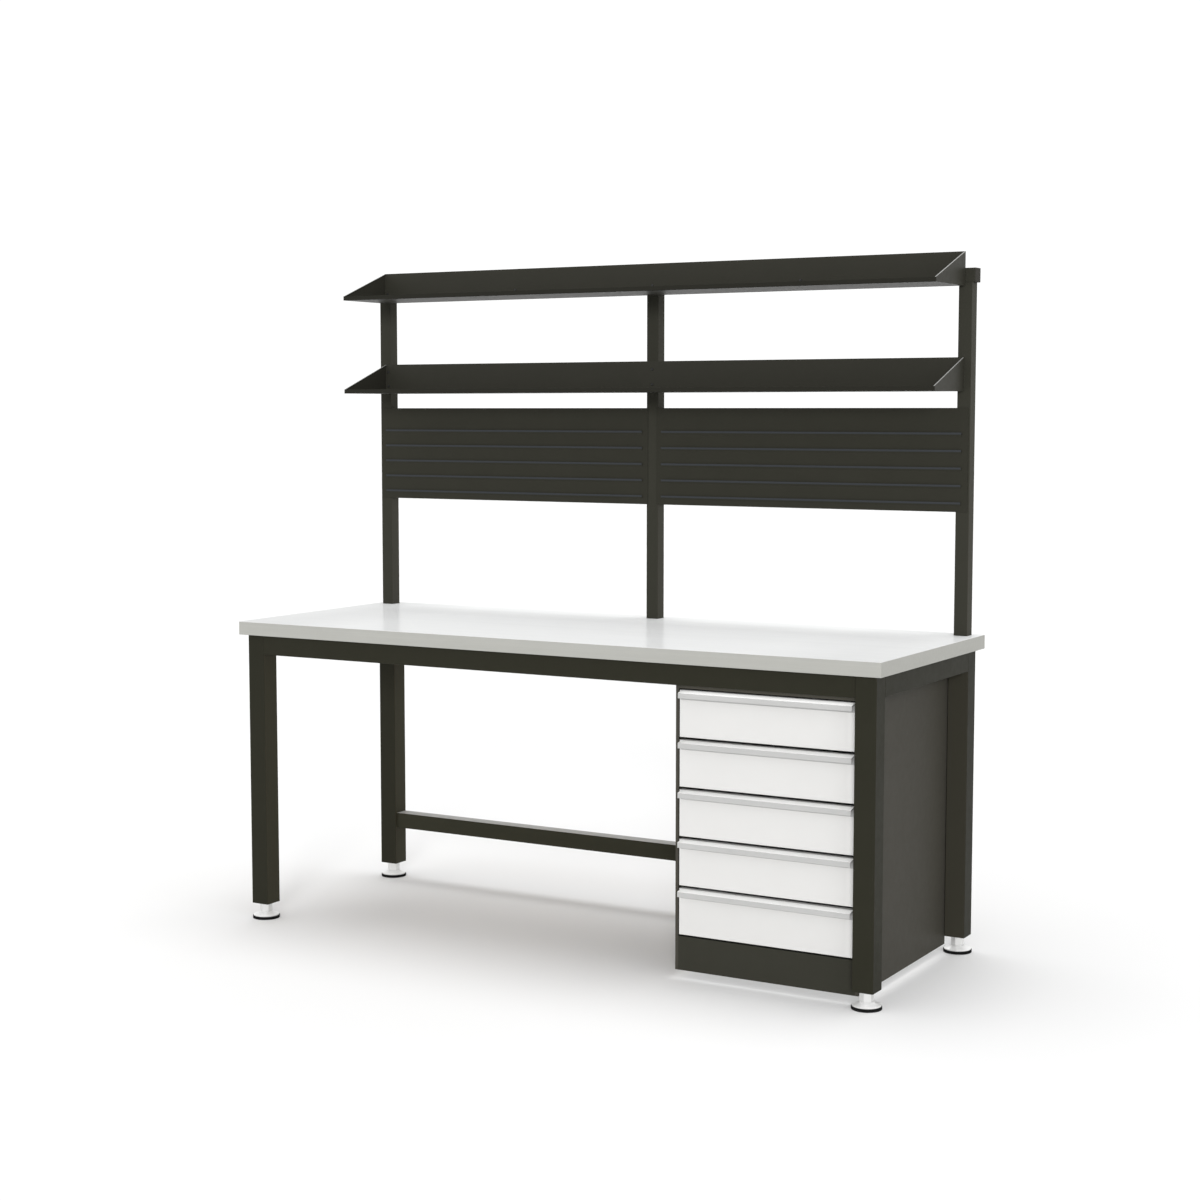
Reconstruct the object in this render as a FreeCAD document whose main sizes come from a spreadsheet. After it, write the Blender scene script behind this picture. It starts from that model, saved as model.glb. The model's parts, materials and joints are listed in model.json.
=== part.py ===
import FreeCAD, Part
import math
import os

import Sketcher
from FreeCAD import Placement, Rotation, Vector

# Workbench with a steel-clad top, a dark tube frame, a hung cabinet of five
# drawers on the right and a rear structure with two shelves and two louvred
# panels.  Millimetres, +Z up, +X to the user's right, +Y to the back, origin
# on the floor under the middle of the top.

doc = FreeCAD.newDocument("Workbench")
sheet = doc.addObject("Spreadsheet::Sheet", "Dims")

SIZES = [
    # worktop
    ("top_len", 2100.0), ("top_dep", 776.0), ("top_thk", 40.0), ("top_z", 922.0),
    ("skin_thk", 1.5), ("skin_ret", 25.0), ("skin_rad", 2.0),
    # frame
    ("leg_size", 60.0), ("leg_wall", 3.0), ("leg_rad", 2.0), ("leg_low", 48.0),
    ("frame_hx", 1030.0), ("frame_hy", 368.0),
    ("apron_hgt", 60.0), ("apron_dep", 40.0), ("apron_wall", 2.5), ("apron_rad", 2.0),
    ("str_hgt", 50.0), ("str_dep", 50.0), ("str_low", 170.0),
    ("plate_thk", 6.0),
    # rear structure
    ("post_size", 40.0), ("post_wall", 2.5), ("post_rad", 1.5),
    ("post_cx", 1001.0), ("post_fy", 318.0), ("post_top", 1922.0), ("cap_thk", 2.0),
    # shelves
    ("shelf_hx", 1000.0), ("shelf_fy", 91.0), ("shelf_hgt", 96.0), ("shelf_lip", 13.0),
    ("shelf_thk", 2.0), ("cheek_thk", 2.0), ("cheek_ret", 4.0), ("shelf_hi", 1912.0), ("shelf_lo", 1616.5),
    # louvred panels
    ("pan_in", 15.0), ("pan_out", 1016.0), ("pan_low", 1275.0), ("pan_hgt", 295.0),
    ("pan_thk", 2.0), ("row_first", 23.5), ("row_pitch", 49.4), ("row_len", 964.0), ("row_off", 18.0),
    # cabinet
    ("cab_lx", 422.0), ("cab_rx", 968.0), ("cab_fy", -319.0), ("cab_by", 317.4),
    ("cab_low", 23.0), ("cab_thk", 2.0), ("cab_lap", 9.0), ("plinth_top", 118.0),
    ("rail_low", 807.5),
    # drawers
    ("drw_top", 802.7), ("drw_pitch", 137.6), ("drw_hgt", 129.6), ("drw_gap", 11.0),
    ("drw_thk", 18.0), ("drw_sheet", 1.5), ("drw_rad", 2.0),
    ("box_gap", 21.0), ("box_dep", 560.0), ("box_hgt", 100.0), ("box_up", 10.0), ("box_thk", 2.0),
    ("run_len", 540.0), ("run_up", 45.0), ("run_half", 23.0), ("run_thk", 1.5),
    ("strip_thk", 6.0), ("strip_wid", 30.0),
    # grip
    ("grip_out", 22.0), ("grip_inset", 6.0),
    # levelling feet
    ("pad_rad", 41.0), ("pad_hgt", 8.5), ("disc_rad", 38.5), ("hex_af", 33.0),
    ("stem_rad", 8.0), ("stem_top", 112.0), ("foot_gap", 0.3),
    # fasteners
    ("screw_rad", 3.0), ("tap_rad", 1.85), ("bolt_rad", 4.0), ("insert_rad", 4.0),
]
for row, (alias, value) in enumerate(SIZES, start=1):
    sheet.set("A%d" % row, alias)
    sheet.set("B%d" % row, repr(value))
    sheet.setAlias("B%d" % row, alias)
doc.recompute()


class Dim:
    """A size with its number and the sheet expression that gives it."""

    def __init__(self, value, text):
        self.value = float(value)
        self.text = text

    def _join(self, other, sign, left):
        other = other if isinstance(other, Dim) else Dim(other, "%.6f" % float(other))
        first, second = (self, other) if left else (other, self)
        values = {
            "+": first.value + second.value,
            "-": first.value - second.value,
            "*": first.value * second.value,
            "/": first.value / second.value if second.value else 0.0,
        }
        return Dim(values[sign], "(%s %s %s)" % (first.text, sign, second.text))

    def __add__(self, other):
        return self._join(other, "+", True)

    def __radd__(self, other):
        return self._join(other, "+", False)

    def __sub__(self, other):
        return self._join(other, "-", True)

    def __rsub__(self, other):
        return self._join(other, "-", False)

    def __mul__(self, other):
        return self._join(other, "*", True)

    def __rmul__(self, other):
        return self._join(other, "*", False)

    def __truediv__(self, other):
        return self._join(other, "/", True)

    def __neg__(self):
        return self._join(0.0, "-", False)


class Sizes:
    pass


d = Sizes()
for alias, value in SIZES:
    setattr(d, alias, Dim(sheet.get(alias), "Dims." + alias))


def num(q):
    return q.value if isinstance(q, Dim) else float(q)


def put(obj, prop, q):
    setattr(obj, prop, num(q))
    if isinstance(q, Dim):
        obj.setExpression(prop, q.text)


def place(obj, x, y, z, rot=None):
    obj.Placement = Placement(Vector(num(x), num(y), num(z)), rot or Rotation())
    for axis, q in zip("xyz", (x, y, z)):
        if isinstance(q, Dim):
            obj.setExpression("Placement.Base." + axis, q.text)


parts = []


def sub_part(obj, label):
    obj.Label = label
    parts.append(obj)
    return obj


# ---------------------------------------------------------------- primitives

def box(name, x, y, z):
    o = doc.addObject("Part::Box", name)
    put(o, "Length", x[1] - x[0])
    put(o, "Width", y[1] - y[0])
    put(o, "Height", z[1] - z[0])
    place(o, x[0], y[0], z[0])
    return o


def rod(name, radius, length, x, y, z, axis="z"):
    o = doc.addObject("Part::Cylinder", name)
    put(o, "Radius", radius)
    put(o, "Height", length)
    turn = {"z": Rotation(), "x": Rotation(Vector(0, 1, 0), 90), "y": Rotation(Vector(1, 0, 0), -90)}
    place(o, x, y, z, turn[axis])
    return o


def join(name, shapes):
    o = doc.addObject("Part::MultiFuse", name)
    o.Shapes = shapes
    o.Refine = True
    return o


def less(name, base, tools):
    if len(tools) > 1:
        tool = doc.addObject("Part::Compound", name + "_tools")
        tool.Links = tools
    else:
        tool = tools[0]
    o = doc.addObject("Part::Cut", name)
    o.Base = base
    o.Tool = tool
    o.Refine = True
    return o


# ------------------------------------------------------------- body features

def plane(body, role):
    return [f for f in body.Origin.OriginFeatures if f.Role == role][0]


def sketch(body, name, role, offset=0.0):
    sk = body.newObject("Sketcher::SketchObject", name)
    sk.AttachmentSupport = (plane(body, role), [""])
    sk.MapMode = "FlatFace"
    sk.AttachmentOffset = Placement(Vector(0, 0, num(offset)), Rotation())
    if isinstance(offset, Dim):
        sk.setExpression("AttachmentOffset.Base.z", offset.text)
    return sk


def outline(sk, points):
    """Closed polygon whose corners are held at sheet-driven distances."""
    n = len(points)
    first = sk.GeometryCount
    for i in range(n):
        a, b = points[i], points[(i + 1) % n]
        sk.addGeometry(Part.LineSegment(Vector(num(a[0]), num(a[1]), 0), Vector(num(b[0]), num(b[1]), 0)), False)
    for i in range(n):
        sk.addConstraint(Sketcher.Constraint("Coincident", first + i, 2, first + (i + 1) % n, 1))
    for i, (x, y) in enumerate(points):
        for kind, q, line in (("DistanceX", x, -2), ("DistanceY", y, -1)):
            if abs(num(q)) < 1e-9:
                sk.addConstraint(Sketcher.Constraint("PointOnObject", first + i, 1, line))
                continue
            c = sk.addConstraint(Sketcher.Constraint(kind, -1, 1, first + i, 1, num(q)))
            if isinstance(q, Dim):
                tag = "%s_%d" % ("u" if line == -2 else "v", first + i)
                sk.renameConstraint(c, tag)
                sk.setExpression("Constraints." + tag, q.text)


def rectangle(sk, x, y):
    outline(sk, [(x[0], y[0]), (x[1], y[0]), (x[1], y[1]), (x[0], y[1])])


def circle(sk, cx, cy, radius):
    g = sk.addGeometry(Part.Circle(Vector(num(cx), num(cy), 0), Vector(0, 0, 1), num(radius)), False)
    for kind, q, line in (("DistanceX", cx, -2), ("DistanceY", cy, -1)):
        if abs(num(q)) < 1e-9:
            sk.addConstraint(Sketcher.Constraint("PointOnObject", g, 3, line))
        else:
            sk.addConstraint(Sketcher.Constraint(kind, -1, 1, g, 3, num(q)))
    c = sk.addConstraint(Sketcher.Constraint("Radius", g, num(radius)))
    if isinstance(radius, Dim):
        sk.renameConstraint(c, "rad_%d" % g)
        sk.setExpression("Constraints.rad_%d" % g, radius.text)


def pad(body, sk, length, reverse=False):
    p = body.newObject("PartDesign::Pad", "Pad")
    p.Profile = sk
    put(p, "Length", length)
    p.Reversed = reverse
    body.Tip = p
    doc.recompute()
    return p


def pocket(body, sk, length, reverse=False):
    before = body.Shape.Volume
    p = body.newObject("PartDesign::Pocket", "Pocket")
    p.Profile = sk
    put(p, "Length", length)
    p.Reversed = reverse
    body.Tip = p
    doc.recompute()
    if not body.Shape.Volume < before - 1e-3:
        raise RuntimeError("a pocket of %s cuts nothing" % body.Label)
    return p


def repeat(body, feature, role, length, count):
    lp = body.newObject("PartDesign::LinearPattern", "Repeat")
    lp.Originals = [feature]
    lp.Direction = (plane(body, role), [""])
    put(lp, "Length", length)
    lp.Occurrences = count
    body.Tip = lp
    doc.recompute()
    return lp


def round_edges(body, radius, chosen):
    """Round the edges of the body's last feature that the test picks."""
    base = body.Tip
    names = ["Edge%d" % (i + 1) for i, e in enumerate(base.Shape.Edges) if chosen(e)]
    f = body.newObject("PartDesign::Fillet", "Round")
    f.Base = (base, names)
    put(f, "Radius", radius)
    body.Tip = f
    doc.recompute()
    return f


def along(edge, axis):
    if edge.Curve.TypeId != "Part::GeomLine":
        return False
    a, b = edge.Vertexes[0].Point, edge.Vertexes[-1].Point
    v = b - a
    return v.Length > 1e-6 and abs(v.dot(axis)) > 0.999 * v.Length


X, Y, Z = Vector(1, 0, 0), Vector(0, 1, 0), Vector(0, 0, 1)
TO_X = Rotation(Y, 90)       # local z runs to +X, local x to -Z, local y to +Y
TO_Y = Rotation(X, -90)      # local z runs to +Y, local y to -Z, local x to +X


def tube(name, size_u, size_v, wall, radius, length):
    """Rectangular tube along its own z, centred on it, with rounded corners."""
    body = doc.addObject("PartDesign::Body", name)
    sk = sketch(body, name + "_section", "XY_Plane")
    rectangle(sk, (-size_u / 2, size_u / 2), (-size_v / 2, size_v / 2))
    rectangle(sk, (wall - size_u / 2, size_u / 2 - wall), (wall - size_v / 2, size_v / 2 - wall))
    pad(body, sk, length)
    hu, hv = num(size_u) / 2, num(size_v) / 2

    def corner(e):
        p = e.Vertexes[0].Point
        return along(e, Z) and abs(abs(p.x) - hu) < 1e-6 and abs(abs(p.y) - hv) < 1e-6

    round_edges(body, radius, corner)
    return body


# ------------------------------------------------------------------- worktop

under_z = d.top_z - d.top_thk
post_cy = d.post_fy + d.post_size / 2
bolt_places = [(-d.post_cx, under_z - d.plate_thk), (Dim(0.0, "0"), under_z - d.apron_wall), (d.post_cx, under_z - d.plate_thk)]
clip_places = [(-750.0, -1), (-250.0, -1), (250.0, -1), (-750.0, 1), (-250.0, 1), (250.0, 1)]
hang_places = [(x, y) for x in (480.0, 695.0, 910.0) for y in (-230.0, 230.0)]

slab = box("top_block", (-d.top_len / 2, d.top_len / 2), (-d.top_dep / 2, d.top_dep / 2), (under_z, d.top_z))
doc.recompute()
slab_edges = []
for i, e in enumerate(slab.Shape.Edges):
    p = (e.Vertexes[0].Point + e.Vertexes[-1].Point) * 0.5
    if along(e, Z) or abs(p.z - num(d.top_z)) < 1e-6:
        slab_edges.append((i + 1, num(d.skin_rad), num(d.skin_rad)))
soft_slab = doc.addObject("Part::Fillet", "top_soft")
soft_slab.Base = slab
soft_slab.Edges = slab_edges
hollow = box("top_hollow",
             (d.skin_thk - d.top_len / 2, d.top_len / 2 - d.skin_thk),
             (d.skin_thk - d.top_dep / 2, d.top_dep / 2 - d.skin_thk),
             (under_z + d.skin_thk, d.top_z - d.skin_thk))
mouth = box("top_mouth",
            (d.skin_ret - d.top_len / 2, d.top_len / 2 - d.skin_ret),
            (d.skin_ret - d.top_dep / 2, d.top_dep / 2 - d.skin_ret),
            (under_z - 1, under_z + d.skin_thk + 1))
skin_holes = [rod("skin_hole", d.bolt_rad + 0.5, 6.0, x, post_cy, d.top_z - 4) for x, z in bolt_places]
sub_part(less("worktop_skin", soft_slab, [hollow, mouth] + skin_holes), "worktop_steel_skin")

board = box("core_board",
            (d.skin_thk - d.top_len / 2 + 0.1, d.top_len / 2 - d.skin_thk - 0.1),
            (d.skin_thk - d.top_dep / 2 + 0.1, d.top_dep / 2 - d.skin_thk - 0.1),
            (under_z + d.skin_thk, d.top_z - d.skin_thk))
seat = box("core_seat",
           (d.skin_ret - d.top_len / 2 + 0.5, d.top_len / 2 - d.skin_ret - 0.5),
           (d.skin_ret - d.top_dep / 2 + 0.5, d.top_dep / 2 - d.skin_ret - 0.5),
           (under_z, under_z + d.skin_thk + 1))
core = join("core_joined", [board, seat])
holes = [rod("core_hole", d.bolt_rad + 0.5, 60.0, x, post_cy, under_z - 10) for x, z in bolt_places]
clip_y = d.frame_hy - d.apron_dep - 26.0
for x, side in clip_places:
    holes.append(rod("clip_hole", d.screw_rad + 0.2, 34.0, x, clip_y * side, under_z - 8))
holes.append(rod("clip_hole", d.screw_rad + 0.2, 34.0, d.apron_dep + 26.0 - d.frame_hx, 0.0, under_z - 8))
for x, y in hang_places:
    holes.append(rod("hang_hole", d.insert_rad + 0.2, 36.0, x, y, under_z - 8))
sub_part(less("worktop_core", core, holes), "worktop_core")

# --------------------------------------------------------------------- frame

for label, sx, sy in (("leg_front_left", -1, -1), ("leg_front_right", 1, -1), ("leg_rear_left", -1, 1), ("leg_rear_right", 1, 1)):
    leg = tube(label, d.leg_size, d.leg_size, d.leg_wall, d.leg_rad, under_z - d.leg_low)
    lid = sketch(leg, label + "_lid", "XY_Plane", under_z - d.leg_low - d.plate_thk)
    half = d.leg_size / 2 - d.leg_wall + 0.5
    rectangle(lid, (-half, half), (-half, half))
    if sy > 0:
        circle(lid, (d.post_cx - d.frame_hx + d.leg_size / 2) * sx, post_cy - d.frame_hy + d.leg_size / 2, d.bolt_rad + 0.5)
    pad(leg, lid, d.plate_thk)
    place(leg, (d.frame_hx - d.leg_size / 2) * sx, (d.frame_hy - d.leg_size / 2) * sy, d.leg_low)
    sub_part(leg, label)

span_x = (d.frame_hx - d.leg_size) * 2
span_y = (d.frame_hy - d.leg_size) * 2
apron_z = under_z - d.apron_hgt / 2

front = tube("apron_front", d.apron_hgt, d.apron_dep, d.apron_wall, d.apron_rad, span_x)
place(front, d.leg_size - d.frame_hx, d.apron_dep / 2 - d.frame_hy, apron_z, TO_X)
sub_part(front, "apron_front")

rear = tube("apron_rear_tube", d.apron_hgt, d.apron_dep, d.apron_wall, d.apron_rad, span_x)
place(rear, d.leg_size - d.frame_hx, d.frame_hy - d.apron_dep / 2, apron_z, TO_X)
sub_part(less("apron_rear", rear, [rod("apron_hole", d.bolt_rad + 0.5, 12.0, 0.0, post_cy, under_z - 8)]), "apron_rear")

for label, s in (("apron_left", -1), ("apron_right", 1)):
    side = tube(label, d.apron_dep, d.apron_hgt, d.apron_wall, d.apron_rad, span_y)
    place(side, (d.frame_hx - d.apron_dep / 2) * s, d.leg_size - d.frame_hy, apron_z, TO_Y)
    sub_part(side, label)

bar = tube("rear_stretcher", d.str_hgt, d.str_dep, d.apron_wall, d.apron_rad, span_x)
place(bar, d.leg_size - d.frame_hx, d.frame_hy - d.str_dep / 2, d.str_low + d.str_hgt / 2, TO_X)
sub_part(bar, "rear_stretcher")

# Threaded plugs welded into the leg ends, one in each leg.
plug_half = num(d.leg_size) / 2 - num(d.leg_wall) - 0.3
plug_solids = []
for sx in (-1, 1):
    for sy in (-1, 1):
        cx = sx * (num(d.frame_hx) - num(d.leg_size) / 2)
        cy = sy * (num(d.frame_hy) - num(d.leg_size) / 2)
        plug = Part.makeBox(2 * plug_half, 2 * plug_half, 12.0, Vector(cx - plug_half, cy - plug_half, num(d.leg_low)))
        plug = plug.cut(Part.makeCylinder(num(d.stem_rad) + 0.4, 20.0, Vector(cx, cy, num(d.leg_low) - 4)))
        plug_solids.append(plug)
plugs = doc.addObject("Part::Feature", "leg_plugs")
plugs.Shape = Part.makeCompound(plug_solids)
plugs.Placement = Placement()
sub_part(plugs, "leg_threaded_plugs")

# Angle clips between the aprons and the underside of the top.
clip_solids = []


def clip(x0, y0, dx, dy):
    """Angle clip whose upright leaf stands at (x0, y0) and faces (dx, dy)."""
    top = num(under_z)
    if dy:
        leaf = Part.makeBox(36, 3, 38, Vector(x0 - 18, min(y0, y0 + 3 * dy), top - 38))
        wing = Part.makeBox(36, 40, 3, Vector(x0 - 18, min(y0, y0 + 40 * dy), top - 3))
    else:
        leaf = Part.makeBox(3, 36, 38, Vector(min(x0, x0 + 3 * dx), y0 - 18, top - 38))
        wing = Part.makeBox(40, 36, 3, Vector(min(x0, x0 + 40 * dx), y0 - 18, top - 3))
    hole = Part.makeCylinder(num(d.screw_rad) + 0.2, 10.0, Vector(x0 + 26 * dx, y0 + 26 * dy, top - 6))
    return leaf.fuse(wing).removeSplitter().cut(hole)


inner_y = num(d.frame_hy) - num(d.apron_dep)
for x, side in clip_places:
    clip_solids.append(clip(x, side * inner_y, 0, -side))
clip_solids.append(clip(num(d.apron_dep) - num(d.frame_hx), 0.0, 1, 0))
clips = doc.addObject("Part::Feature", "worktop_clips")
clips.Shape = Part.makeCompound(clip_solids)
clips.Placement = Placement()
sub_part(clips, "worktop_angle_clips")


def screw(head_r, head_h, rad, length, at, axis, hexagon=False):
    """Head on the near side of 'at', shank running from 'at' along axis."""
    if hexagon:
        pts = [Vector(head_r * math.cos(math.radians(60 * k)), head_r * math.sin(math.radians(60 * k)), 0) for k in range(7)]
        head = Part.Face(Part.makePolygon(pts)).extrude(Vector(0, 0, head_h))
    else:
        head = Part.makeCylinder(head_r, head_h)
        rim = [e for e in head.Edges if e.Curve.TypeId == "Part::GeomCircle" and e.Curve.Center.z < 1e-6]
        head = head.makeFillet(head_h * 0.55, rim)
        socket = [Vector(head_r * 0.42 * math.cos(math.radians(60 * k)), head_r * 0.42 * math.sin(math.radians(60 * k)), 0) for k in range(7)]
        head = head.cut(Part.Face(Part.makePolygon(socket)).extrude(Vector(0, 0, head_h * 0.6)))
    head.translate(Vector(0, 0, -head_h))
    shank = Part.makeCylinder(rad, length)
    s = head.fuse(shank).removeSplitter()
    s.Placement = Placement(at, Rotation(Vector(0, 0, 1), axis)).multiply(s.Placement)
    return s


def fasteners(label, solids):
    o = doc.addObject("Part::Feature", label)
    o.Shape = Part.makeCompound(solids)
    o.Placement = Placement()
    return sub_part(o, label)


clip_bottom = num(under_z) - 3
screws = [screw(5.2, 3.0, num(d.screw_rad), 26.0, Vector(x, num(clip_y) * side, clip_bottom), Z) for x, side in clip_places]
screws.append(screw(5.2, 3.0, num(d.screw_rad), 26.0, Vector(num(d.apron_dep) + 26.0 - num(d.frame_hx), 0.0, clip_bottom), Z))
fasteners("worktop_screws", screws)

# ------------------------------------------------------------ rear structure

post_len = d.post_top - d.top_z
shelf_screw_z = (1642.0, 1688.0)
panel_screw_z = (1302.0, 1543.0)
panel_screw_y = num(d.post_fy) + 16.0
shelf_screw_x = 988.0
for label, s in (("upright_left", -1), ("upright_centre", 0), ("upright_right", 1)):
    post = tube(label + "_tube", d.post_size, d.post_size, d.post_wall, d.post_rad, post_len)
    foot = sketch(post, label + "_foot", "XY_Plane")
    half = d.post_size / 2 - d.post_wall + 0.5
    rectangle(foot, (-half, half), (-half, half))
    circle(foot, 0.0, 0.0, d.bolt_rad + 0.2)
    pad(post, foot, 10.0)
    place(post, d.post_cx * s if s else 0.0, post_cy, d.top_z)
    drill = []
    for z in shelf_screw_z:
        drill.append(rod("drill", d.tap_rad + 0.1, 12.0, s * shelf_screw_x, d.post_fy - 6, z, "y"))
    for z in panel_screw_z:
        if s <= 0:
            drill.append(rod("drill", d.tap_rad + 0.1, 12.0, d.post_cx * s + d.post_size / 2 - 6, panel_screw_y, z, "x"))
        if s >= 0:
            drill.append(rod("drill", d.tap_rad + 0.1, 12.0, d.post_cx * s - d.post_size / 2 - 6, panel_screw_y, z, "x"))
    sub_part(less(label, post, drill), label)

beam = tube("top_rail_tube", d.post_size, d.post_size, d.post_wall, d.post_rad, (d.frame_hx - d.cap_thk) * 2)
place(beam, d.cap_thk - d.frame_hx, post_cy, d.post_top + d.post_size / 2, TO_X)
drill = [rod("drill", d.tap_rad + 0.1, 12.0, x, d.post_fy - 6, d.post_top + d.post_size / 2, "y") for x in (-shelf_screw_x, -494.0, 0.0, 494.0, shelf_screw_x)]
sub_part(less("top_rail", beam, drill), "top_rail")

# Push-in caps that close both ends of the top rail.
cap_solids = []
size, wall, thk = num(d.post_size), num(d.post_wall), num(d.cap_thk)
for s in (-1, 1):
    x0 = s * num(d.frame_hx)
    cy, cz = num(post_cy), num(d.post_top) + size / 2
    lid = Part.makeBox(thk, size, size, Vector(min(x0, x0 - s * thk), cy - size / 2, cz - size / 2))
    lid = lid.makeFillet(num(d.post_rad), [e for e in lid.Edges if along(e, X)])
    inner = size - 2 * wall - 0.4
    x1 = x0 - s * thk
    neck = Part.makeBox(14.0, inner, inner, Vector(min(x1, x1 - s * 14.0), cy - inner / 2, cz - inner / 2))
    cap_solids.append(lid.fuse(neck).removeSplitter())
caps = doc.addObject("Part::Feature", "rail_end_caps")
caps.Shape = Part.makeCompound(cap_solids)
caps.Placement = Placement()
sub_part(caps, "top_rail_end_caps")

fasteners("upright_bolts", [
    screw(7.5, 5.3, num(d.bolt_rad), num(d.top_z) + 14.0 - num(z), Vector(num(x), num(post_cy), num(z)), Z, True)
    for x, z in bolt_places])


def shelf(label, low):
    """Sheet tray: floor, front lip, tall rear upstand and two sloping cheeks,
    each with its sloping edge folded inwards."""
    length = (-d.shelf_hx, d.shelf_hx)
    floor = box(label + "_floor", length, (d.shelf_fy, d.post_fy), (low, low + d.shelf_thk))
    lip = box(label + "_lip", length, (d.shelf_fy, d.shelf_fy + d.shelf_thk), (low, low + d.shelf_lip))
    back = box(label + "_back", length, (d.post_fy - d.shelf_thk, d.post_fy), (low, low + d.shelf_hgt))
    tray = join(label + "_tray", [floor, lip, back])
    doc.recompute()
    bends = []
    for i, e in enumerate(tray.Shape.Edges):
        p = e.Vertexes[0].Point
        if along(e, X) and abs(p.z - num(low)) < 1e-6 and min(abs(p.y - num(d.shelf_fy)), abs(p.y - num(d.post_fy))) < 1e-6:
            bends.append((i + 1, 3.0, 3.0))
    bent = doc.addObject("Part::Fillet", label + "_bent")
    bent.Base = tray
    bent.Edges = bends
    pieces = [bent]
    for s in (-1, 1):
        w = doc.addObject("Part::Wedge", label + "_cheek")
        w.Xmin, w.Ymin, w.Zmin, w.X2min, w.Z2min = 0.0, 0.0, 0.0, 0.0, 0.0
        put(w, "Xmax", d.cheek_thk)
        put(w, "X2max", d.cheek_thk)
        put(w, "Ymax", d.post_fy - d.shelf_fy)
        put(w, "Zmax", d.shelf_lip)
        put(w, "Z2max", d.shelf_hgt)
        place(w, d.shelf_hx - d.cheek_thk if s > 0 else -d.shelf_hx, d.shelf_fy, low)
        pieces.append(w)
        r = doc.addObject("Part::Wedge", label + "_return")
        r.Xmin, r.Ymin, r.X2min = 0.0, 0.0, 0.0
        put(r, "Zmin", d.shelf_lip - d.cheek_thk)
        put(r, "Z2min", d.shelf_hgt - d.cheek_thk)
        put(r, "Xmax", d.cheek_ret)
        put(r, "X2max", d.cheek_ret)
        put(r, "Ymax", d.post_fy - d.shelf_fy)
        put(r, "Zmax", d.shelf_lip)
        put(r, "Z2max", d.shelf_hgt)
        place(r, d.shelf_hx - d.cheek_ret if s > 0 else -d.shelf_hx, d.shelf_fy, low)
        pieces.append(r)
    return join(label + "_whole", pieces)


upper = shelf("shelf_upper", d.shelf_hi)
drill = [rod("drill", d.tap_rad + 0.1, 12.0, x, d.post_fy - 8, d.post_top + d.post_size / 2, "y") for x in (-shelf_screw_x, -494.0, 0.0, 494.0, shelf_screw_x)]
sub_part(less("shelf_upper", upper, drill), "shelf_upper")

lower = shelf("shelf_lower", d.shelf_lo)
drill = [rod("drill", d.tap_rad + 0.1, 12.0, x, d.post_fy - 8, z, "y") for x in (-shelf_screw_x, 0.0, shelf_screw_x) for z in shelf_screw_z]
sub_part(less("shelf_lower", lower, drill), "shelf_lower")


def louvred_panel(label, x0, flange_lo, flange_hi):
    """Panel sheet with rows of pressed louvres and folded rear edges.

    x0 is the panel's left edge; the side flanges stand at flange_lo and
    flange_hi, measured from it, and lie against the uprights."""
    width = d.pan_out - d.pan_in
    body = doc.addObject("PartDesign::Body", label + "_sheet")
    face = sketch(body, label + "_face", "XZ_Plane")
    rectangle(face, (Dim(0.0, "0"), width), (Dim(0.0, "0"), d.pan_hgt))
    pad(body, face, d.pan_thk)
    slots = sketch(body, label + "_slots", "XZ_Plane")
    piece = (d.row_len - 42.0) / 4
    for k in range(4):
        a = d.row_off + 12.0 + k * (piece + 6.0)
        rectangle(slots, (a, a + piece), (d.row_first - 3.0, d.row_first + 0.6))
    cut = pocket(body, slots, d.pan_thk + 1, True)
    repeat(body, cut, "Z_Axis", d.row_pitch * 4, 5)
    lip = sketch(body, label + "_lip", "YZ_Plane", d.row_off)
    f = -d.pan_thk
    z = d.row_first
    outline(lip, [(f + 0.2, z - 8.0), (f - 4.6, z + 0.6), (f - 4.6, z + 4.4), (f - 2.6, z + 4.4), (f - 2.6, z + 1.2), (f + 0.2, z - 3.8)])
    ridge = pad(body, lip, d.row_len)
    repeat(body, ridge, "Z_Axis", d.row_pitch * 4, 5)
    folds = sketch(body, label + "_folds", "XZ_Plane")
    rectangle(folds, (flange_lo + d.pan_thk + 0.5, flange_hi - 0.5), (Dim(0.0, "0"), d.pan_thk))
    rectangle(folds, (flange_lo + d.pan_thk + 0.5, flange_hi - 0.5), (d.pan_hgt - d.pan_thk, d.pan_hgt))
    pad(body, folds, 18.0, True)
    sides = sketch(body, label + "_sides", "XZ_Plane")
    rectangle(sides, (flange_lo, flange_lo + d.pan_thk), (Dim(0.0, "0"), d.pan_hgt))
    rectangle(sides, (flange_hi, flange_hi + d.pan_thk), (Dim(0.0, "0"), d.pan_hgt))
    pad(body, sides, 30.0, True)
    place(body, x0, d.post_fy, d.pan_low)
    drill = []
    for z in panel_screw_z:
        drill.append(rod("drill", d.tap_rad + 0.1, 10.0, x0 + flange_lo - 4, panel_screw_y, z, "x"))
        drill.append(rod("drill", d.tap_rad + 0.1, 10.0, x0 + flange_hi - 4, panel_screw_y, z, "x"))
    sub_part(less(label + "_drilled", body, drill), label)


inner_face = d.post_cx - d.post_size / 2
louvred_panel("louvre_panel_left", -d.pan_out, d.pan_out - inner_face, d.pan_out - d.post_size / 2 - d.pan_thk)
louvred_panel("louvre_panel_right", d.pan_in, d.post_size / 2 - d.pan_in, inner_face - d.pan_in - d.pan_thk)

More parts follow.
